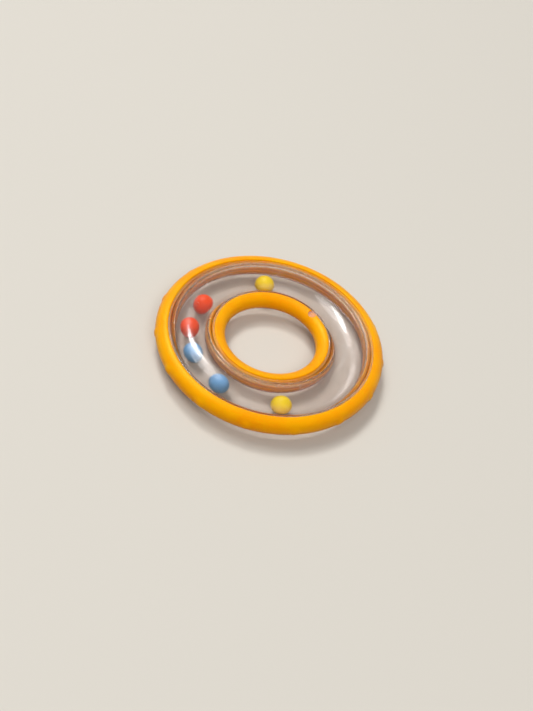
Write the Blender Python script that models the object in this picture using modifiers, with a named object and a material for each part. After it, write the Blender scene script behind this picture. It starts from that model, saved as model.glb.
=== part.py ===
"""Baby rattle ring: loose beads in a clear hollow hoop that a soft outer and a soft inner ring hold together.

Metres, +Z up. The origin is the centre of the ring, on the surface that its lower crown rests on.
"""

import math

import bmesh
import bpy
from mathutils import Matrix, Vector

# Beads and the room that they have in the hoop
BEAD_DIAMETER = 0.0090
BEAD_HEADROOM = 0.0038
BEAD_SIDE_ROOM = 0.0076
FIRST_BEAD_ANGLE = 106.9
BEADS = (
    # name, colour, free angle after the bead before it, how far it lies outside the track's middle
    ("bead_yellow_back", "yellow", 0.0, -0.00085),
    ("bead_red_back", "red", 41.65, -0.00085),
    ("bead_red_front", "red", 10.95, 0.00035),
    ("bead_blue_back", "blue", 8.05, 0.00055),
    ("bead_blue_front", "blue", 15.95, 0.00035),
    ("bead_yellow_front", "yellow", 30.15, 0.00035),
)

# Clear hoop, moulded as two half shells with a round channel and a low flange along each edge
SHELL_WALL = 0.0012
CROWN_LAND = 0.0024
WALL_SHOWN = 0.00035
SHOULDER_ROUND = 0.0012
FLANGE_THICKNESS = 0.0009
FLANGE_DEPTH = 0.0006

# Soft rings, each with a groove that grips both flanges
HOLE_RADIUS = 0.0200
INNER_RIM = 0.0043
OUTER_RIM = 0.0043
LIP_THICKNESS = 0.0021
LIP_ROUND = 0.00065
CROWN_RISE = 0.0008
INNER_DROP = 0.0004

# Teething bumps round the outer ring
BUMP_COUNT = 15
BUMP_WIDTH = 0.0046
BUMP_HEIGHT = 0.0005
BUMP_ROOT = 0.00135
FIRST_BUMP_ANGLE = 6.3

# Moulding stub on the upper half shell, which shows in a notch of the inner ring
STUB_DIAMETER = 0.0038
STUB_BITE = 0.0003
STUB_DEPTH = 0.0014
STUB_RISE = 0.0004
STUB_ANGLE = 53.1

# Clearance between pieces that touch
FIT_GAP = 0.0003

# Colours and how rough the surfaces are
CLEAR_COLOR = (0.93, 0.90, 0.87, 1.0)
CLEAR_ROUGHNESS = 0.08
SOFT_COLOR = (0.98, 0.37, 0.004, 1.0)
SOFT_ROUGHNESS = 0.42
BEAD_COLORS = {
    "yellow": (0.82, 0.58, 0.036, 1.0),
    "red": (0.88, 0.09, 0.006, 1.0),
    "blue": (0.17, 0.37, 0.61, 1.0),
}
BEAD_ROUGHNESS = 0.4

# Smoothness of the round surfaces
TURN_STEPS = 60
INNER_TURN_STEPS = 48
DOME_STEPS = 4
CHANNEL_STEPS = 6
SHOULDER_STEPS = 2
LIP_STEPS = 2
NOSE_STEPS = 10
STUB_STEPS = 16
BEAD_SEGMENTS = 16
BEAD_RINGS = 10
BUMP_SEGMENTS = 12
BUMP_RINGS = 8
SHARP_ANGLE = math.radians(38)

# Heights above the plane where the two half shells meet
SEAM = FIT_GAP / 2
FLANGE_TOP = SEAM + FLANGE_THICKNESS
GROOVE_TOP = FLANGE_TOP + FIT_GAP
LIP_TOP = GROOVE_TOP + LIP_THICKNESS
RING_TOP = LIP_TOP + CROWN_RISE
SHOULDER = LIP_TOP + WALL_SHOWN
CEILING = (BEAD_DIAMETER + BEAD_HEADROOM) / 2
CROWN = CEILING + SHELL_WALL
BEAD_HEIGHT = FIT_GAP - CEILING + BEAD_DIAMETER / 2

# Radii and widths across the ring
INNER_WIDTH = INNER_RIM + FLANGE_DEPTH + FIT_GAP
OUTER_WIDTH = OUTER_RIM + FLANGE_DEPTH + FIT_GAP
HOOP_HALF = (BEAD_DIAMETER + BEAD_SIDE_ROOM) / 2 + SHELL_WALL
INNER_SEAT = HOLE_RADIUS + INNER_WIDTH
TRACK_RADIUS = INNER_SEAT + FIT_GAP + HOOP_HALF
OUTER_SEAT = TRACK_RADIUS + HOOP_HALF + FIT_GAP
OUTER_RADIUS = OUTER_SEAT + OUTER_WIDTH
STUB_RADIUS = STUB_DIAMETER / 2
STUB_AXIS = INNER_SEAT + FIT_GAP + STUB_BITE - STUB_RADIUS
STUB_TOP = LIP_TOP - INNER_DROP + STUB_RISE
STUB_FOOT = STUB_TOP - STUB_DEPTH


def clear_scene():
    """Remove whatever the scene holds."""
    for old in list(bpy.data.objects):
        bpy.data.objects.remove(old)


def new_collection(name):
    """Collection of that name, linked to the scene."""
    collection = bpy.data.collections.new(name)
    bpy.context.scene.collection.children.link(collection)
    return collection


def plastic(name, color, roughness, transmission=0.0):
    """Principled plastic of one colour."""
    material = bpy.data.materials.new(name)
    material.use_nodes = True
    material.diffuse_color = color
    shader = material.node_tree.nodes["Principled BSDF"]
    shader.inputs["Base Color"].default_value = color
    shader.inputs["Roughness"].default_value = roughness
    shader.inputs["Metallic"].default_value = 0.0
    shader.inputs["Transmission Weight"].default_value = transmission
    return material


def arc(center, radii, start, end, steps):
    """Points along an ellipse from the start angle to the end angle, in degrees, both included."""
    points = []
    for step in range(steps + 1):
        angle = math.radians(start + (end - start) * step / steps)
        across = center[0] + radii[0] * math.cos(angle)
        height = center[1] + radii[1] * math.sin(angle)
        points.append((across, height))
    return points


def rounded_corner(before, corner, after, radius, steps):
    """Curve that rounds the corner of a section, kept within half of its two sides."""
    middle = Vector(corner)
    to_before = Vector(before) - middle
    to_after = Vector(after) - middle
    half_angle = to_before.angle(to_after) / 2
    reach = min(radius / math.tan(half_angle), to_before.length / 2, to_after.length / 2)
    start = middle + to_before.normalized() * reach
    end = middle + to_after.normalized() * reach
    points = []
    for step in range(steps + 1):
        share = step / steps
        first_leg = start.lerp(middle, share)
        second_leg = middle.lerp(end, share)
        points.append(tuple(first_leg.lerp(second_leg, share)))
    return points


def turned(name, section, steps, collection):
    """Object turned about Z from a closed section of (radius, height) points, running down its outer side."""
    mesh = bpy.data.meshes.new(name)
    points = [(radius, 0.0, CROWN + height) for radius, height in section]
    edges = [(index, (index + 1) % len(points)) for index in range(len(points))]
    mesh.from_pydata(points, edges, [])
    piece = bpy.data.objects.new(name, mesh)
    collection.objects.link(piece)
    screw = piece.modifiers.new("turn", "SCREW")
    screw.axis = "Z"
    screw.angle = math.tau
    screw.steps = steps
    screw.render_steps = steps
    return piece


def upright_cylinder(name, radius, low, high, collection):
    """Cylinder on the stub's axis, between two heights."""
    mesh = bpy.data.meshes.new(name)
    shape = bmesh.new()
    place = Matrix.Rotation(math.radians(STUB_ANGLE), 4, "Z")
    place = place @ Matrix.Translation((STUB_AXIS, 0.0, CROWN + (low + high) / 2))
    bmesh.ops.create_cone(
        shape,
        cap_ends=True,
        segments=STUB_STEPS,
        radius1=radius,
        radius2=radius,
        depth=high - low,
        matrix=place,
    )
    shape.to_mesh(mesh)
    shape.free()
    piece = bpy.data.objects.new(name, mesh)
    collection.objects.link(piece)
    return piece


def as_cutter(helper):
    """Mark an object that only cuts or joins others."""
    helper.hide_render = True
    helper.display_type = "WIRE"
    return helper


def boolean(piece, helper, operation):
    """Cut the helper from the piece, or join the two."""
    modifier = piece.modifiers.new(helper.name, "BOOLEAN")
    modifier.operation = operation
    modifier.solver = "EXACT"
    modifier.object = helper


def finish(piece, material):
    """Give the piece its final mesh, smooth but for its sharp edges, and its material."""
    graph = bpy.context.evaluated_depsgraph_get()
    mesh = bpy.data.meshes.new_from_object(piece.evaluated_get(graph))
    mesh.name = piece.name
    mesh.shade_smooth()
    mesh.set_sharp_from_angle(angle=SHARP_ANGLE)
    mesh.materials.clear()
    mesh.materials.append(material)
    piece.modifiers.clear()
    piece.data = mesh


def shell_edge(shoulder_height):
    """Half of the upper half shell's section: dome, upright wall, flange and round channel."""
    dome_run = HOOP_HALF - CROWN_LAND / 2
    dome_fall = CROWN - shoulder_height
    dome_radius = (dome_run**2 + dome_fall**2) / (2 * dome_fall)
    dome_center = (CROWN_LAND / 2, CROWN - dome_radius)
    dome_foot = math.degrees(math.acos(dome_run / dome_radius))
    dome = arc(dome_center, (dome_radius, dome_radius), 90, dome_foot, DOME_STEPS)
    flange_corner = (HOOP_HALF, FLANGE_TOP)
    shoulder = rounded_corner(dome[-2], dome[-1], flange_corner, SHOULDER_ROUND, SHOULDER_STEPS)
    flange_tip = HOOP_HALF + FIT_GAP + FLANGE_DEPTH
    flange = [flange_corner, (flange_tip, FLANGE_TOP), (flange_tip, SEAM)]
    channel_radii = (HOOP_HALF - SHELL_WALL, CEILING - SEAM)
    channel = arc((0.0, SEAM), channel_radii, 0, 90, CHANNEL_STEPS)
    return dome[:-1] + shoulder + flange + channel


def half_shell_section():
    """Section of the upper half shell, whose inner edge is a little lower than its outer one."""
    outer_edge = shell_edge(SHOULDER)
    inner_edge = shell_edge(SHOULDER - INNER_DROP)[:-1]
    mirrored = [(-across, height) for across, height in reversed(inner_edge)]
    return [(TRACK_RADIUS + across, height) for across, height in outer_edge + mirrored]


def soft_ring_section(seat, width, drop, side):
    """Section of a soft ring, with a round nose and lips. side is 1 outside the hoop, -1 inside it."""
    lip_top = LIP_TOP - drop
    ring_top = RING_TOP - drop
    lip_radii = (LIP_ROUND, CROWN_RISE)
    nose_radii = (width - LIP_ROUND, ring_top)
    upper_lip = arc((LIP_ROUND, lip_top), lip_radii, 180, 90, LIP_STEPS)
    nose = arc((LIP_ROUND, 0.0), nose_radii, 90, -90, NOSE_STEPS)
    lower_lip = arc((LIP_ROUND, -lip_top), lip_radii, 270, 180, LIP_STEPS)
    outline = upper_lip[:-1] + nose + lower_lip[1:]
    section = [(seat + side * across, height) for across, height in outline]
    return section if side > 0 else section[::-1]


def groove_section(seat, side):
    """Section of the groove that grips the two flanges, open towards the hoop."""
    mouth = seat - side * FIT_GAP
    floor = seat + side * (FLANGE_DEPTH + FIT_GAP)
    low = min(mouth, floor)
    high = max(mouth, floor)
    return [(low, GROOVE_TOP), (high, GROOVE_TOP), (high, -GROOVE_TOP), (low, -GROOVE_TOP)]


def make_shells(parts, cutters, clear):
    """Two half shells; the upper one carries the moulding stub."""
    section = half_shell_section()
    upper = turned("upper_shell", section, TURN_STEPS, parts)
    stub = upright_cylinder("stub", STUB_RADIUS, STUB_FOOT, STUB_TOP, cutters)
    boolean(upper, as_cutter(stub), "UNION")
    finish(upper, clear)
    mirrored = [(radius, -height) for radius, height in reversed(section)]
    lower = turned("lower_shell", mirrored, TURN_STEPS, parts)
    finish(lower, clear)


def make_bumps(cutters):
    """Lens-shaped bumps, half sunk in the outer ring's rim."""
    mesh = bpy.data.meshes.new("bumps")
    shape = bmesh.new()
    reach = BUMP_ROOT + BUMP_HEIGHT
    half_width = BUMP_WIDTH / 2 / math.sqrt(1 - (BUMP_ROOT / reach) ** 2)
    for index in range(BUMP_COUNT):
        angle = math.radians(FIRST_BUMP_ANGLE) + math.tau * index / BUMP_COUNT
        place = Matrix.Rotation(angle, 4, "Z")
        place = place @ Matrix.Translation((OUTER_RADIUS - BUMP_ROOT, 0.0, CROWN))
        place = place @ Matrix.Diagonal((reach, half_width, half_width, 1.0))
        place = place @ Matrix.Rotation(math.pi / 2, 4, "Y")
        bmesh.ops.create_uvsphere(
            shape,
            u_segments=BUMP_SEGMENTS,
            v_segments=BUMP_RINGS,
            radius=1.0,
            matrix=place,
        )
    shape.to_mesh(mesh)
    shape.free()
    bumps = bpy.data.objects.new("bumps", mesh)
    cutters.objects.link(bumps)
    return as_cutter(bumps)


def make_outer_ring(parts, cutters, soft):
    """Outer ring: its turned body, joined with the bumps and cut by the groove."""
    section = soft_ring_section(OUTER_SEAT, OUTER_WIDTH, 0.0, 1)
    ring = turned("outer_ring", section, TURN_STEPS, parts)
    groove = turned("outer_groove", groove_section(OUTER_SEAT, 1), TURN_STEPS, cutters)
    boolean(ring, make_bumps(cutters), "UNION")
    boolean(ring, as_cutter(groove), "DIFFERENCE")
    finish(ring, soft)


def make_inner_ring(parts, cutters, soft):
    """Inner ring: its turned body, cut by the notch for the stub and by the groove."""
    section = soft_ring_section(INNER_SEAT, INNER_WIDTH, INNER_DROP, -1)
    ring = turned("inner_ring", section, INNER_TURN_STEPS, parts)
    groove = turned("inner_groove", groove_section(INNER_SEAT, -1), INNER_TURN_STEPS, cutters)
    notch = upright_cylinder("notch", STUB_RADIUS + FIT_GAP, STUB_FOOT - FIT_GAP, CROWN, cutters)
    boolean(ring, as_cutter(notch), "DIFFERENCE")
    boolean(ring, as_cutter(groove), "DIFFERENCE")
    finish(ring, soft)


def make_beads(parts, colors):
    """Beads in a row along the track, each on an empty that turns about the ring's axis."""
    touching = 2 * math.degrees(math.asin((BEAD_DIAMETER + FIT_GAP) / 2 / TRACK_RADIUS))
    angle = FIRST_BEAD_ANGLE - touching
    for name, color, free_angle, off_middle in BEADS:
        angle += touching + free_angle
        carrier = bpy.data.objects.new(name + "_axis", None)
        carrier.location = (0.0, 0.0, CROWN + BEAD_HEIGHT)
        carrier.rotation_euler = (0.0, 0.0, math.radians(angle))
        parts.objects.link(carrier)
        mesh = bpy.data.meshes.new(name)
        shape = bmesh.new()
        bmesh.ops.create_uvsphere(
            shape,
            u_segments=BEAD_SEGMENTS,
            v_segments=BEAD_RINGS,
            radius=BEAD_DIAMETER / 2,
        )
        shape.to_mesh(mesh)
        shape.free()
        mesh.shade_smooth()
        mesh.materials.append(colors[color])
        bead = bpy.data.objects.new(name, mesh)
        bead.parent = carrier
        bead.location = (TRACK_RADIUS + off_middle, 0.0, 0.0)
        parts.objects.link(bead)


def main():
    clear_scene()
    parts = new_collection("baby_rattle_ring")
    cutters = new_collection("cutters")
    clear = plastic("clear_plastic", CLEAR_COLOR, CLEAR_ROUGHNESS, transmission=1.0)
    soft = plastic("soft_orange_plastic", SOFT_COLOR, SOFT_ROUGHNESS)
    bead_plastics = {}
    for name, color in BEAD_COLORS.items():
        bead_plastics[name] = plastic(name + "_bead_plastic", color, BEAD_ROUGHNESS)
    make_shells(parts, cutters, clear)
    make_outer_ring(parts, cutters, soft)
    make_inner_ring(parts, cutters, soft)
    make_beads(parts, bead_plastics)


main()
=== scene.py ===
# %% [markdown]
# # A baby's rattle ring
#
# The toy is a clear hollow hoop with six loose beads in it. Two soft orange rings, one round the
# outside and one in the hole, clamp the two halves of the hoop together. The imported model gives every
# piece's place and motion. This lesson gives the pieces their finer shapes, their finishes, a floor,
# light and a camera.

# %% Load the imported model
import math

import bmesh
import bpy
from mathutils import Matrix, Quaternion, Vector


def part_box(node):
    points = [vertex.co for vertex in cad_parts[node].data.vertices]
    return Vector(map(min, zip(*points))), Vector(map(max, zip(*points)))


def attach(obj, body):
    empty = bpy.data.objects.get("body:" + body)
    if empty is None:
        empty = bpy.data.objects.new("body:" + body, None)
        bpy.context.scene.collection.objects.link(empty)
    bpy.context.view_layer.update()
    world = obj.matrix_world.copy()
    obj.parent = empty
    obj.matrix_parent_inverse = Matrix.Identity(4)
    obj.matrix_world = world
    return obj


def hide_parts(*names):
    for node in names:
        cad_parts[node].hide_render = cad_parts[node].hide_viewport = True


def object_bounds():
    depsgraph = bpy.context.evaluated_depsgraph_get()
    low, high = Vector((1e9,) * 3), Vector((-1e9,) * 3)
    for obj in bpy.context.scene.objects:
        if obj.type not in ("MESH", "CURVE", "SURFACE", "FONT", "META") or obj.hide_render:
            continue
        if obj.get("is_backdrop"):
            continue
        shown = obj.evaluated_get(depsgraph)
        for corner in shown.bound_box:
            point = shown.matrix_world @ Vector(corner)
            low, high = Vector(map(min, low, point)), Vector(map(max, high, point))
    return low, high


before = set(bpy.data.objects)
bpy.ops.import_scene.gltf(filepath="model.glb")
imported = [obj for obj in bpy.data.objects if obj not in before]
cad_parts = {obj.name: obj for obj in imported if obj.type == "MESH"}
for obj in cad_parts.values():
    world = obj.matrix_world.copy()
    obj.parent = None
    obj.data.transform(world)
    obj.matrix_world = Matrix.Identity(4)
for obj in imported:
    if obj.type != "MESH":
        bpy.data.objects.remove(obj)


def in_mm(lengths):
    """Lengths in metres as rounded millimetres, for printing."""
    return [round(1000 * length, 2) for length in lengths]


cad_low, cad_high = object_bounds()
print("nodes:", sorted(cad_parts))
print("size in mm:", in_mm(cad_high - cad_low))

# %% [markdown]
# ## Camera
#
# The photograph was taken from a bit under half a metre away, looking down at a bit under 50 degrees,
# with the picture turned a little. A camera could be turned by three angles. Built from its place, its
# aim and a roll about its line of sight it is easier to fit, because each of these changes one thing in
# the picture.

# %% Camera
CAMERA_PLACE = Vector((0.0, -0.3162, 0.33895))
CAMERA_AIM = Vector((0.0003, -0.0100, 0.00805))
CAMERA_ROLL = math.radians(17.04)
LENS = 53.67
SENSOR = 36.0
NEAREST_SEEN = 0.01

camera_data = bpy.data.cameras.new("camera")
camera_data.sensor_width = SENSOR
camera_data.lens = LENS
camera_data.clip_start = NEAREST_SEEN
camera = bpy.data.objects.new("camera", camera_data)
bpy.context.scene.collection.objects.link(camera)
unrolled = (CAMERA_AIM - CAMERA_PLACE).to_track_quat("-Z", "Y")
camera.location = CAMERA_PLACE
camera.rotation_mode = "QUATERNION"
camera.rotation_quaternion = unrolled @ Quaternion((0.0, 0.0, 1.0), CAMERA_ROLL)
bpy.context.scene.camera = camera
print("camera is", round((CAMERA_AIM - CAMERA_PLACE).length, 3), "m from its aim")

# %% [markdown]
# ## Writing materials as sums
#
# A finish is a small network of nodes. It could be wired by hand in the shader editor, but wires are
# hard to read as text. Here one class stands for a socket and turns Python's operators into Math nodes,
# and another makes any node from its type, settings and inputs, so that a finish reads like a formula.

# %% Sockets
class Socket:
    """One output of a node. Arithmetic on it adds Math nodes to the same material."""

    def __init__(self, finish, link):
        self.finish = finish
        self.link = link

    def math(self, operation, first, second):
        return self.finish.node("ShaderNodeMath", {"operation": operation}, {0: first, 1: second})

    def __add__(self, other):
        return self.math("ADD", self, other)

    def __sub__(self, other):
        return self.math("SUBTRACT", self, other)

    def __rsub__(self, other):
        return self.math("SUBTRACT", other, self)

    def __mul__(self, other):
        return self.math("MULTIPLY", self, other)

    __radd__ = __add__
    __rmul__ = __mul__


# %% Finishes
class Finish:
    """A material, or the sky, that grows node by node."""

    def __init__(self, owner):
        self.owner = owner
        owner.use_nodes = True
        self.tree = owner.node_tree
        self.tree.nodes.clear()

    def find(self, sockets, key):
        """Socket by its number, or by its identifier or name."""
        if isinstance(key, int):
            return sockets[key]
        return next(socket for socket in sockets if key in (socket.identifier, socket.name))

    def node(self, kind, settings=None, inputs=None, output=0):
        """New node of that kind, with its settings first and then its inputs, as one of its outputs."""
        made = self.tree.nodes.new(kind)
        for key, value in (settings or {}).items():
            setattr(made, key, value)
        for key, value in (inputs or {}).items():
            socket = self.find(made.inputs, key)
            if isinstance(value, Socket):
                self.tree.links.new(value.link, socket)
            else:
                socket.default_value = value
        return Socket(self, self.find(made.outputs, output)) if made.outputs else None

    def noise(self, scale, detail=2.0):
        """Soft random pattern from 0 to 1, about scale cells to the metre, that moves with the piece."""
        place = self.node("ShaderNodeTexCoord", output="Object")
        return self.node("ShaderNodeTexNoise", {}, {"Vector": place, "Scale": scale, "Detail": detail})

    def fade(self, value, start, end):
        """0 where the value is at start or beyond and 1 at end or beyond, with a smooth step between."""
        inputs = {"Value": value, "From Min": start, "From Max": end}
        return self.node("ShaderNodeMapRange", {"interpolation_type": "SMOOTHSTEP"}, inputs)

    def tint(self, share, first, second):
        """Colour between two others."""
        inputs = {"Factor_Float": share, "A_Color": first, "B_Color": second}
        return self.node("ShaderNodeMix", {"data_type": "RGBA"}, inputs, "Result_Color")

    def bump(self, height, strength, distance):
        """Surface normal that follows a pattern's height."""
        inputs = {"Height": height, "Strength": strength, "Distance": distance}
        return self.node("ShaderNodeBump", {}, inputs)

    def by_ray(self, rays, usual, special):
        """The usual shader, with the special one in its place for these kinds of rays."""
        shader = usual
        for ray in rays:
            share = self.node("ShaderNodeLightPath", output=ray)
            shader = self.node("ShaderNodeMixShader", {}, {0: share, 1: shader, 2: special})
        return shader

    def surface(self, shader, output="ShaderNodeOutputMaterial"):
        """Use this shader for the material or the sky."""
        self.node(output, {}, {"Surface": shader})
        print(self.owner.name, "has", len(self.tree.nodes), "nodes")
        return self.owner


def new_finish(name):
    """Empty material with that name."""
    return Finish(bpy.data.materials.new(name))


def darker(color, share):
    """Colour at that share of its brightness."""
    return [share * part for part in color[:3]] + [1.0]


# %% [markdown]
# ## Floor
#
# The ring lies on a plain pale floor, which is one large flat grid. A floor that is simply pale would
# light the ring's lower sides too much. Light Path tells rays that only look at the floor from rays
# that gather light, so this one looks paler than the light that it throws back.

# %% Floor
FLOOR_COLOR = (0.66, 0.62, 0.55, 1.0)
FLOOR_BOUNCE = (0.34, 0.27, 0.18, 1.0)
FLOOR_PATCHES = 3.0
FLOOR_PATCH_SHADE = 0.98
FLOOR_ROUGHNESS = 0.7
FLOOR_SIDE = 2.6
FLOOR_CUTS = 4
FLOOR_DROP = 0.00005
LOOKING_RAYS = ("Is Camera Ray", "Is Glossy Ray", "Is Transmission Ray")


def floor_finish():
    """Pale floor where a ray looks at it, which throws back less light than it shows."""
    finish = new_finish("pale_floor")
    patches = finish.noise(FLOOR_PATCHES)
    shade = finish.tint(patches, FLOOR_COLOR, darker(FLOOR_COLOR, FLOOR_PATCH_SHADE))
    inputs = {"Base Color": shade, "Roughness": FLOOR_ROUGHNESS}
    shown = finish.node("ShaderNodeBsdfPrincipled", {}, inputs)
    lighting = finish.node("ShaderNodeBsdfDiffuse", {}, {"Color": FLOOR_BOUNCE})
    return finish.surface(finish.by_ray(LOOKING_RAYS, lighting, shown))


floor_shape = bmesh.new()
bmesh.ops.create_grid(floor_shape, x_segments=FLOOR_CUTS, y_segments=FLOOR_CUTS, size=FLOOR_SIDE / 2)
floor_mesh = bpy.data.meshes.new("floor")
floor_shape.to_mesh(floor_mesh)
floor_shape.free()
floor = bpy.data.objects.new("floor", floor_mesh)
floor.location.z = -FLOOR_DROP
floor.data.materials.append(floor_finish())
bpy.context.scene.collection.objects.link(floor)
floor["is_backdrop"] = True

# %% [markdown]
# ## Light
#
# A window lamp and a bright wall, both behind the ring and to the left, make the long soft streaks on
# the clear crown and the shadow to the lower right. One picture of a room could light it all, but a few
# lamps are easier to move one at a time. A wide fill lamp in front lights the near sides. It isn't
# mirrored, because it would lay a veil over the clear plastic. The sky, like the floor, looks paler
# than the light that it gives.

# %% Lamps
LAMPS = {
    "window": {"azimuth": 122.0, "height": 55.0, "width": 0.8, "depth": 0.65, "power": 31.0},
    "bright_wall": {"azimuth": 152.0, "height": 62.0, "width": 1.6, "depth": 1.2, "power": 29.0},
    "front_fill": {"azimuth": 284.0, "height": 56.0, "width": 2.7, "depth": 1.5, "power": 44.0},
}
NOT_MIRRORED = ("front_fill",)
LAMP_DISTANCE = 3.0


def area_lamp(name, azimuth, height, width, depth, power):
    """Flat lamp that faces the ring from that direction, in degrees."""
    data = bpy.data.lights.new(name, "AREA")
    data.shape = "ELLIPSE"
    data.size = width
    data.size_y = depth
    data.energy = power
    lamp = bpy.data.objects.new(name, data)
    turn = math.radians(azimuth)
    rise = math.radians(height)
    direction = Vector((math.cos(rise) * math.cos(turn), math.cos(rise) * math.sin(turn), math.sin(rise)))
    lamp.location = direction * LAMP_DISTANCE
    lamp.rotation_mode = "QUATERNION"
    lamp.rotation_quaternion = (-direction).to_track_quat("-Z", "Y")
    lamp.visible_glossy = name not in NOT_MIRRORED
    bpy.context.scene.collection.objects.link(lamp)
    print(name, "gives", power, "W")


for lamp_name, lamp_facts in LAMPS.items():
    area_lamp(lamp_name, **lamp_facts)

# %% Sky
SKY = (0.20, 0.205, 0.21, 1.0)
BACKDROP = (0.62, 0.60, 0.57, 1.0)
ROOM = (0.50, 0.50, 0.50, 1.0)
BACKDROP_FADE = (0.06, 0.3)


def sky_finish():
    """Even sky that lights the ring, and a backdrop below a room where a ray looks at it."""
    finish = Finish(bpy.data.worlds.new("sky"))
    lighting = finish.node("ShaderNodeBackground", {}, {"Color": SKY})
    direction = finish.node("ShaderNodeTexCoord", output="Generated")
    height = finish.node("ShaderNodeSeparateXYZ", {}, {0: direction}, "Z")
    shade = finish.tint(finish.fade(height, *BACKDROP_FADE), BACKDROP, ROOM)
    shown = finish.node("ShaderNodeBackground", {}, {"Color": shade})
    return finish.surface(finish.by_ray(LOOKING_RAYS, lighting, shown), "ShaderNodeOutputWorld")


bpy.context.scene.world = sky_finish()
bpy.context.scene.view_settings.view_transform = "Standard"
print("sky", SKY[0], "backdrop", BACKDROP[0])

# %% [markdown]
# ## Sections
#
# Everything but the beads is turned about one axis. A profile with a Screw modifier would do, but the
# bumps need the points themselves, so each piece starts as a closed outline: a list of points, each a
# radius and a height above the plane where the two half shells meet. The sizes are in metres. The
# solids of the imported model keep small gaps. Here the pieces overlap by two hundredths of a millimetre
# instead, like the weld between the shells and the grip of the soft rings, because light would show
# even a thin film of air.

# %% Sizes of the ring
HOLE_RADIUS = 0.0200
INNER_SEAT = 0.0252
OUTER_SEAT = 0.0448
OUTER_RADIUS = 0.0500
CROWN = 0.0076
CEILING = 0.0064
OUTER_SHOULDER = 0.0038
INNER_SHOULDER = 0.0034
LIP_STEP = 0.00045
OUTER_TOP = OUTER_SHOULDER + LIP_STEP
INNER_TOP = INNER_SHOULDER + LIP_STEP
LIP_RISE = 0.0008
LIP_ROUND = 0.00065
FLANGE_TOP = 0.00105
FLANGE_DEPTH = 0.0006
TOUCH = 0.00002
TRACK = (INNER_SEAT + OUTER_SEAT) / 2
HOOP_HALF = (OUTER_SEAT - INNER_SEAT) / 2 + TOUCH
LEDGE = 0.0009
RIM_HEIGHT = 0.0004
RIM_ROUND = 0.00015
SEAT_DEPTH = 0.0010
SEAT_WALL = 0.0010
CHANNEL_HALF = HOOP_HALF - SEAT_DEPTH - SEAT_WALL
print("track radius and channel half width in mm:", in_mm((TRACK, CHANNEL_HALF)))


# %% Arcs and rounded corners
def arc(center, radii, start, end, steps):
    """Points along an ellipse from one angle to another, in degrees."""
    points = []
    for step in range(steps + 1):
        angle = math.radians(start + (end - start) * step / steps)
        across = center[0] + radii[0] * math.cos(angle)
        height = center[1] + radii[1] * math.sin(angle)
        points.append((across, height))
    return points


def rounded(before, corner, after, radius, steps):
    """Curve that rounds a corner of an outline."""
    middle = Vector(corner)
    to_before = Vector(before) - middle
    to_after = Vector(after) - middle
    reach = radius / math.tan(to_before.angle(to_after) / 2)
    start = middle + to_before.normalized() * reach
    end = middle + to_after.normalized() * reach
    points = []
    for step in range(steps + 1):
        share = step / steps
        points.append(tuple(start.lerp(middle, share).lerp(middle.lerp(end, share), share)))
    return points


print("a quarter circle in three steps has", len(arc((0.0, 0.0), (1.0, 1.0), 0, 90, 3)), "points")

# %% Turned pieces
SHARP = math.radians(40)


def shaped(name, points, faces):
    """Smooth mesh object whose faces look outwards."""
    mesh = bpy.data.meshes.new(name)
    mesh.from_pydata(points, [], faces)
    shape = bmesh.new()
    shape.from_mesh(mesh)
    bmesh.ops.recalc_face_normals(shape, faces=shape.faces)
    shape.to_mesh(mesh)
    shape.free()
    mesh.shade_smooth()
    mesh.set_sharp_from_angle(angle=SHARP)
    piece = bpy.data.objects.new(name, mesh)
    bpy.context.scene.collection.objects.link(piece)
    return piece


def turned(name, outline_at, steps):
    """Piece whose closed outline, which may change with the angle, goes once round the axis."""
    points = []
    faces = []
    for step in range(steps):
        angle = math.tau * step / steps
        outline = outline_at(angle)
        for radius, height in outline:
            points.append((radius * math.cos(angle), radius * math.sin(angle), CROWN + height))
        count = len(outline)
        here = step * count
        there = (step + 1) % steps * count
        for index in range(count):
            after = (index + 1) % count
            faces.append((here + index, there + index, there + after, here + after))
    piece = shaped(name, points, faces)
    print(name, "has", len(faces), "faces")
    return piece


# %% [markdown]
# ## Clear plastic
#
# The hoop is moulded from clear plastic that has been handled a lot: a faint warm tint, a haze of fine
# rubbing, thin scratches and a slightly wavy surface. A Glass shader would do for a new one. Principled
# also gives a coat, whose blur lays a soft veil round each sharp highlight, as rubbing does. Glass in
# Cycles stops the lamps' rays, which would leave the beads in the dark, so a Transparent shader takes
# over for shadow rays and diffuse rays. The channel mirrors little, because its reflections of the
# lamps would lie over the beads. The underside is worn dull. Its darker tint is partly wear and partly
# painted shade, which dims the floor seen through the hoop. The end of the stub is frosted where it
# was cut.

# %% Clear plastic finish
CLEAR_IOR = 1.5
LAMP_TINT = (0.95, 0.94, 0.935, 1.0)
LIGHTING_RAYS = ("Is Shadow Ray", "Is Diffuse Ray")
HAZE_SCALE = 160.0
HAZE_EDGES = (0.42, 0.68)
HAZE_BLUR = 0.03
SPECK_SCALE = 2600.0
SPECK_EDGES = (0.62, 0.72)
SPECK_BLUR = 0.08
SCRATCH_SCALE = 240.0
SCRATCH_WIDTH = 0.00004
SCRATCH_BLUR = 0.15
WAVE_SCALE = 110.0
WAVE_STRENGTH = 0.1
WAVE_HEIGHT = 0.0003
FINE_RELIEF = 0.03
VEIL_CLEAN = 0.245
VEIL_RUBBED = 0.21
VEIL_BLUR = 0.35


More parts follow.
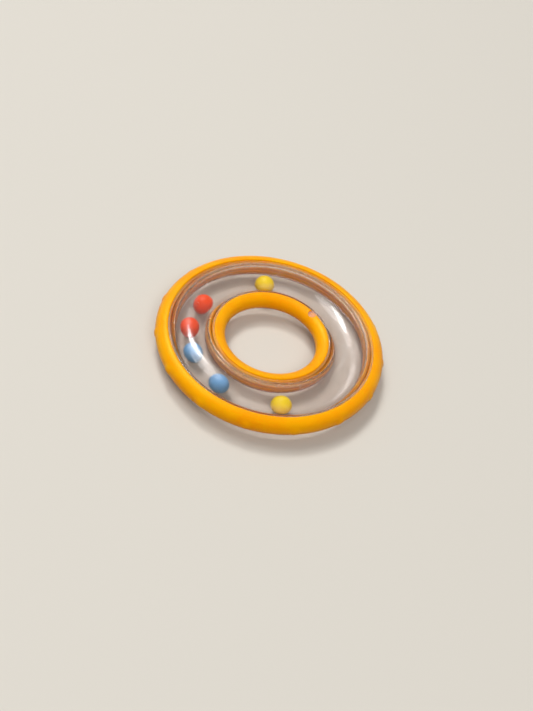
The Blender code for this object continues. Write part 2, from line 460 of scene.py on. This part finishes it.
def clear_finish(name, tint, rubbed, least_blur, shine, clearness=1.0):
    """Clear plastic. shine scales what it reflects, and clearness what it lets through."""
    finish = new_finish(name)
    haze = finish.fade(finish.noise(HAZE_SCALE, 4.0), *HAZE_EDGES)
    specks = finish.fade(finish.noise(SPECK_SCALE), *SPECK_EDGES)
    waves = finish.noise(WAVE_SCALE)
    from_middle = finish.noise(SCRATCH_SCALE, 1.0) - 0.5
    scratches = finish.fade(from_middle * from_middle, SCRATCH_WIDTH, 0.0) * haze
    blur = least_blur + HAZE_BLUR * haze + SPECK_BLUR * specks + SCRATCH_BLUR * scratches
    relief = waves + FINE_RELIEF * specks - FINE_RELIEF * scratches
    plastic = finish.node(
        "ShaderNodeBsdfPrincipled",
        {},
        {
            "Base Color": finish.tint(haze, tint, rubbed),
            "Roughness": blur,
            "IOR": CLEAR_IOR,
            "Specular Tint": (shine, shine, shine, 1.0),
            "Transmission Weight": clearness,
            "Coat Weight": shine * (VEIL_CLEAN + VEIL_RUBBED * haze),
            "Coat Roughness": VEIL_BLUR,
            "Normal": finish.bump(relief, WAVE_STRENGTH, WAVE_HEIGHT),
        },
    )
    straight = finish.node("ShaderNodeBsdfTransparent", {}, {"Color": LAMP_TINT})
    return finish.surface(finish.by_ray(LIGHTING_RAYS, plastic, straight))


NEW_TINT = (0.965, 0.95, 0.945, 1.0)
RUBBED_TINT = (0.94, 0.92, 0.915, 1.0)
# The underside's two tints are darker partly from wear and partly as painted shade, which dims the floor
# seen through the hoop.
WORN_AND_SHADED_TINT = (0.80, 0.74, 0.71, 1.0)
DULL_AND_SHADED_TINT = (0.75, 0.69, 0.66, 1.0)
CUT_TINT = (0.74, 0.57, 0.52, 1.0)
FRAYED_TINT = (0.62, 0.47, 0.43, 1.0)
CLEAR_TOP = clear_finish("clear_plastic", NEW_TINT, RUBBED_TINT, least_blur=0.12, shine=0.8)
CLEAR_CHANNEL = clear_finish(
    "clear_plastic_channel", NEW_TINT, RUBBED_TINT, least_blur=0.04, shine=0.06
)
# Underside: worn dull, with a darker tint that is partly painted shade on the floor seen through it.
CLEAR_BELOW = clear_finish("clear_plastic_worn_shaded", WORN_AND_SHADED_TINT, DULL_AND_SHADED_TINT, least_blur=0.12, shine=0.25)
CLEAR_CUT = clear_finish(
    "clear_plastic_cut", CUT_TINT, FRAYED_TINT, least_blur=0.22, shine=1.0, clearness=0.72
)

# %% [markdown]
# ## Clear hoop
#
# Each half of the hoop is a gutter: a domed crown, a narrow flat ledge along each edge, a shallow round
# seat for the soft ring, a low flange at the seam, and a round channel inside. The inner edge is a
# little lower than the outer one. Two cut tori would come close, but the ledge and the seat make the
# bands of colour that show through the clear edges, so the whole section is drawn. The lower half is
# the upper one turned over.

# %% Half shells
SEAM = -TOUCH / 2
DOME_STEPS = 28
ROUND_STEPS = 6
SEAT_STEPS = 12
SHELL_TURN_STEPS = 240


def seat_arc(height):
    """Depth and height along the round seat in the hoop's side, from its rim to the flange."""
    lowest = math.degrees(math.asin(FLANGE_TOP / height))
    return arc((0.0, 0.0), (SEAT_DEPTH, height), 90, lowest, SEAT_STEPS)


def hoop_edge(shoulder_height):
    """Half of the upper half's outline, from the crown down to the flange and back up to the ceiling."""
    fall = CROWN - shoulder_height
    dome_half = HOOP_HALF - LEDGE
    dome_radius = (dome_half**2 + fall**2) / (2 * fall)
    foot = math.degrees(math.acos(dome_half / dome_radius))
    dome = arc((0.0, CROWN - dome_radius), (dome_radius, dome_radius), 90, foot, DOME_STEPS)
    seat = [(HOOP_HALF - depth, height) for depth, height in seat_arc(shoulder_height - RIM_HEIGHT)]
    rim = rounded(dome[-1], (HOOP_HALF, shoulder_height), seat[0], RIM_ROUND, ROUND_STEPS)
    tip = seat[-1][0] + FLANGE_DEPTH
    channel = arc((0.0, SEAM), (CHANNEL_HALF, CEILING), 0, 90, DOME_STEPS)
    return dome + rim + seat + [(tip, FLANGE_TOP), (tip, SEAM)] + channel


def half_hoop_outline():
    """Outline of the upper half, whose inner edge is a little lower than its outer one."""
    outer_edge = hoop_edge(OUTER_SHOULDER)
    inner_edge = hoop_edge(INNER_SHOULDER)
    other = [(-across, height) for across, height in reversed(inner_edge[1:-1])]
    return [(TRACK + across, height) for across, height in outer_edge + other]


upper_outline = half_hoop_outline()
lower_outline = [(radius, -height) for radius, height in upper_outline]
upper_shell = turned("upper_shell_clear", lambda angle: upper_outline, SHELL_TURN_STEPS)
lower_shell = turned("lower_shell_clear", lambda angle: lower_outline, SHELL_TURN_STEPS)

# %% [markdown]
# ## Moulding stub
#
# Where the plastic ran into the mould, a short round stub is left on the upper half, beside the inner
# ring. It could be a piece of its own that is pushed into the shell, but light would show the skin
# between them, so a Boolean joins the two.

# %% Moulding stub
STUB_RADIUS = 0.0019
STUB_AXIS = 0.0239
STUB_ANGLE = math.radians(53.1)
STUB_FOOT = 0.00205
STUB_TOP = 0.00345
STUB_STEPS = 48
STUB_ROUND = 0.0003
STUB_MIDDLE = Vector((STUB_AXIS * math.cos(STUB_ANGLE), STUB_AXIS * math.sin(STUB_ANGLE), CROWN))


def stub_column(name, radius, low, high, edge):
    """Upright round column at the stub's place, with a rounded top edge."""
    side = [(radius, low)] + arc((radius - edge, high - edge), (edge, edge), 0, 90, ROUND_STEPS)
    points = []
    for across, height in side:
        for step in range(STUB_STEPS):
            angle = math.tau * step / STUB_STEPS
            around = Vector((across * math.cos(angle), across * math.sin(angle), height))
            points.append(STUB_MIDDLE + around)
    faces = [tuple(range(STUB_STEPS)), tuple(range(len(points) - STUB_STEPS, len(points)))]
    for row in range(len(side) - 1):
        for step in range(STUB_STEPS):
            after = (step + 1) % STUB_STEPS
            low_row = row * STUB_STEPS
            high_row = low_row + STUB_STEPS
            faces.append((low_row + step, low_row + after, high_row + after, high_row + step))
    return shaped(name, points, faces)


def combined(piece, helper, operation):
    """Join the helper to the piece or cut it away, and keep only the result."""
    modifier = piece.modifiers.new(helper.name, "BOOLEAN")
    modifier.operation = operation
    modifier.solver = "EXACT"
    modifier.object = helper
    graph = bpy.context.evaluated_depsgraph_get()
    mesh = bpy.data.meshes.new_from_object(piece.evaluated_get(graph))
    piece.modifiers.clear()
    piece.data = mesh
    mesh.shade_smooth()
    mesh.set_sharp_from_angle(angle=SHARP)
    bpy.data.objects.remove(helper)
    print(piece.name, "has", len(mesh.polygons), "faces after", operation.lower())


combined(upper_shell, stub_column("stub", STUB_RADIUS, STUB_FOOT, STUB_TOP, STUB_ROUND), "UNION")

# %% [markdown]
# ## Finishes of the shells
#
# One shell needs two or three finishes: outside, in the channel, and on the stub. Splitting it into
# pieces would open gaps, so each face takes the finish of the place where it lies.

# %% Finishes of the shells
ON_CHANNEL = 1.01
OUTSIDE, CHANNEL, STUB = range(3)


def place_on_shell(point):
    """Which of the three finishes belongs at a point of a shell."""
    across = math.hypot(point.x, point.y) - TRACK
    height = point.z - CROWN
    if (across / CHANNEL_HALF) ** 2 + (height / CEILING) ** 2 < ON_CHANNEL:
        return CHANNEL
    from_stub = math.hypot(point.x - STUB_MIDDLE.x, point.y - STUB_MIDDLE.y)
    on_stub = from_stub < STUB_RADIUS + TOUCH and height > STUB_FOOT - TOUCH
    return STUB if on_stub else OUTSIDE


def dress_shell(shell, node, finishes):
    """Give each face of a shell its finish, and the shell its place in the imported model."""
    shell.data.materials.clear()
    for finish in finishes:
        shell.data.materials.append(finish)
    for face in shell.data.polygons:
        face.material_index = place_on_shell(face.center)
    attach(shell, "hoop")
    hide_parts(node)
    print(shell.name, "has", len(finishes), "finishes")


dress_shell(upper_shell, "upper_shell", (CLEAR_TOP, CLEAR_CHANNEL, CLEAR_CUT))
dress_shell(lower_shell, "lower_shell", (CLEAR_BELOW, CLEAR_CHANNEL))

# %% [markdown]
# ## Soft orange plastic
#
# The rings are a soft satin plastic, coloured right through. A plain Principled shader would leave
# their shaded sides dull, so some of the light goes a few millimetres into the plastic and keeps them
# deep orange. The sheen is tinted, so that it brightens the orange instead of whitening it. A fine
# moulded grain breaks up the sheen, and the colour deepens a little from place to place.

# %% Soft orange finish
ORANGE = (1.0, 0.42, 0.001, 1.0)
ORANGE_DEEP = (0.97, 0.36, 0.001, 1.0)
ORANGE_PATCHES = 70.0
PATCH_EDGES = (0.35, 0.7)
PATCH_BLUR = 0.05
SOFT_BLUR = 0.32
SOFT_SHINE = 0.5
SHEEN_TINT = (1.0, 0.65, 0.08, 1.0)
SOFT_GLOW = 0.4
GLOW_REACH = (1.0, 0.35, 0.05)
GLOW_DEPTH = 0.003
SOFT_GRAIN = 2200.0
SOFT_GRAIN_STRENGTH = 0.15
GRAIN_BLUR = 0.1
GRAIN_HEIGHT = 0.0001


def soft_finish():
    """Satin orange plastic that light enters a little."""
    finish = new_finish("soft_orange")
    patches = finish.fade(finish.noise(ORANGE_PATCHES, 3.0), *PATCH_EDGES)
    grain = finish.noise(SOFT_GRAIN, 3.0)
    plastic = finish.node(
        "ShaderNodeBsdfPrincipled",
        {},
        {
            "Base Color": finish.tint(patches, ORANGE, ORANGE_DEEP),
            "Roughness": SOFT_BLUR + GRAIN_BLUR * grain + PATCH_BLUR * patches,
            "Specular IOR Level": SOFT_SHINE,
            "Specular Tint": SHEEN_TINT,
            "Subsurface Weight": SOFT_GLOW,
            "Subsurface Radius": GLOW_REACH,
            "Subsurface Scale": GLOW_DEPTH,
            "Normal": finish.bump(grain, SOFT_GRAIN_STRENGTH, GRAIN_HEIGHT),
        },
    )
    return finish.surface(plastic)


SOFT_ORANGE = soft_finish()

# %% [markdown]
# ## Outer ring
#
# Both soft rings have a round nose, two lips that lie against the hoop's rims, a swelling that fills
# the seat, and a groove in the swelling for the flanges. The outer ring has low lens-shaped bumps along
# its rim for chewing. They could be flat balls joined on by Booleans, but then a hard line would run
# round each one. Here they are part of the outline: where a bump is, the outline's points move
# outwards.

# %% Outer ring
NOSE_STEPS = 28
LIP_STEPS = 5
OUTER_TURN_STEPS = 600
BUMP_COUNT = 15
FIRST_BUMP = math.radians(6.3)
BUMP_HALF_WIDTH = 0.0023
BUMP_HEIGHT = 0.00046
BUMP_POWER = 0.75


def soft_outline(seat, nose, top, side):
    """Outline of a soft ring from its seat to its nose. side is 1 outside the hoop and -1 in its hole."""
    width = abs(nose - seat)
    lip = top - LIP_RISE
    upper_lip = arc((LIP_ROUND, lip), (LIP_ROUND, LIP_RISE), 180, 90, LIP_STEPS)
    round_nose = arc((LIP_ROUND, 0.0), (width - LIP_ROUND, top), 90, -90, NOSE_STEPS)
    lower_lip = arc((LIP_ROUND, -lip), (LIP_ROUND, LIP_RISE), 270, 180, LIP_STEPS)
    seat_points = seat_arc(top - LIP_STEP - RIM_HEIGHT)
    swelling = [(-depth, height - TOUCH) for depth, height in reversed(seat_points)]
    groove = (swelling[0][0] + FLANGE_DEPTH, swelling[0][1])
    upper_seat = [groove] + swelling
    lower_seat = [(across, -height) for across, height in reversed(upper_seat)]
    outline = upper_lip[:-1] + round_nose + lower_lip[1:] + lower_seat + upper_seat
    return [(seat + side * across, height) for across, height in outline]


outer_outline = soft_outline(OUTER_SEAT, OUTER_RADIUS, OUTER_TOP, 1)


def bumpy_outline(angle):
    """Outline of the outer ring at this angle, with its share of the nearest bump."""
    spacing = math.tau / BUMP_COUNT
    from_bump = (angle - FIRST_BUMP + spacing / 2) % spacing - spacing / 2
    along = OUTER_RADIUS * from_bump
    outline = []
    for radius, height in outer_outline:
        nearness = 1 - (along**2 + height**2) / BUMP_HALF_WIDTH**2
        on_rim = radius > OUTER_SEAT + LIP_ROUND
        swell = BUMP_HEIGHT * nearness**BUMP_POWER if nearness > 0 and on_rim else 0.0
        outline.append((radius + swell, height))
    return outline


def dress_ring(ring, node):
    """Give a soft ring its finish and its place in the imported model."""
    ring.data.materials.clear()
    ring.data.materials.append(SOFT_ORANGE)
    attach(ring, "hoop")
    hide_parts(node)


outer_ring = turned("outer_ring_soft", bumpy_outline, OUTER_TURN_STEPS)
dress_ring(outer_ring, "outer_ring")

# %% [markdown]
# ## Inner ring
#
# The inner ring is the same outline, facing the other way, with a notch for the stub. The notch is
# round and in one place only, so instead of working it into the outline a Boolean cuts it with a
# slightly larger stub.

# %% Inner ring
INNER_TURN_STEPS = 240
NOTCH_GAP = 0.00005

inner_outline = soft_outline(INNER_SEAT, HOLE_RADIUS, INNER_TOP, -1)
inner_ring = turned("inner_ring_soft", lambda angle: inner_outline, INNER_TURN_STEPS)
notch = stub_column("notch", STUB_RADIUS + NOTCH_GAP, STUB_FOOT + TOUCH, CROWN, STUB_ROUND)
combined(inner_ring, notch, "DIFFERENCE")
dress_ring(inner_ring, "inner_ring")

# %% [markdown]
# ## Bead finishes
#
# The beads are satin plastic balls in three colours. Each could have its own set of nodes, but only the
# colour differs, so one function makes all three, with a fine grain and slightly darker patches.

# %% Bead finishes
BEAD_COLORS = {
    "yellow": (1.0, 0.72, 0.008, 1.0),
    "red": (1.0, 0.075, 0.001, 1.0),
    "blue": (0.16, 0.39, 0.70, 1.0),
}
BEAD_PATCHES = 450.0
BEAD_PATCH_SHADE = 0.9
BEAD_BLUR = 0.32
BEAD_SHINE = 0.2
BEAD_GRAIN = 3000.0
BEAD_GRAIN_STRENGTH = 0.1


def bead_finish(name, color):
    """Satin plastic of one colour."""
    finish = new_finish(name + "_bead")
    patches = finish.fade(finish.noise(BEAD_PATCHES, 3.0), *PATCH_EDGES)
    grain = finish.noise(BEAD_GRAIN)
    plastic = finish.node(
        "ShaderNodeBsdfPrincipled",
        {},
        {
            "Base Color": finish.tint(patches, color, darker(color, BEAD_PATCH_SHADE)),
            "Roughness": BEAD_BLUR + GRAIN_BLUR * grain,
            "Specular IOR Level": BEAD_SHINE,
            "Normal": finish.bump(grain, BEAD_GRAIN_STRENGTH, GRAIN_HEIGHT),
        },
    )
    return finish.surface(plastic)


bead_finishes = {name: bead_finish(name, color) for name, color in BEAD_COLORS.items()}

# %% [markdown]
# ## Beads
#
# Each bead lies loose in the channel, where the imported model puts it. A UV sphere is the quickest ball,
# but its poles are pinched. A cube whose faces are cut into squares and pushed out to one radius has no
# poles, so its highlight stays round from every side.

# %% Beads
BEAD_CUTS = 15
BEADS = ("yellow_back", "red_back", "red_front", "blue_back", "blue_front", "yellow_front")


def round_bead(name, low, high):
    """Ball that fills the box between two corners."""
    shape = bmesh.new()
    bmesh.ops.create_cube(shape, size=2.0)
    bmesh.ops.subdivide_edges(shape, edges=shape.edges[:], cuts=BEAD_CUTS, use_grid_fill=True)
    radius = (high.z - low.z) / 2
    for vertex in shape.verts:
        vertex.co = vertex.co.normalized() * radius
    mesh = bpy.data.meshes.new(name)
    shape.to_mesh(mesh)
    shape.free()
    mesh.shade_smooth()
    bead = bpy.data.objects.new(name, mesh)
    bead.location = (low + high) / 2
    bpy.context.scene.collection.objects.link(bead)
    return bead


for body in BEADS:
    node = "bead_" + body
    bead = round_bead(body + "_bead", *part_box(node))
    color = body.split("_")[0]
    bead.data.materials.append(bead_finishes[color])
    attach(bead, body)
    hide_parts(node)
    print(bead.name, in_mm(bead.location))

# %% Finish
low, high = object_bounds()
print("visual size in mm:", in_mm(high - low))
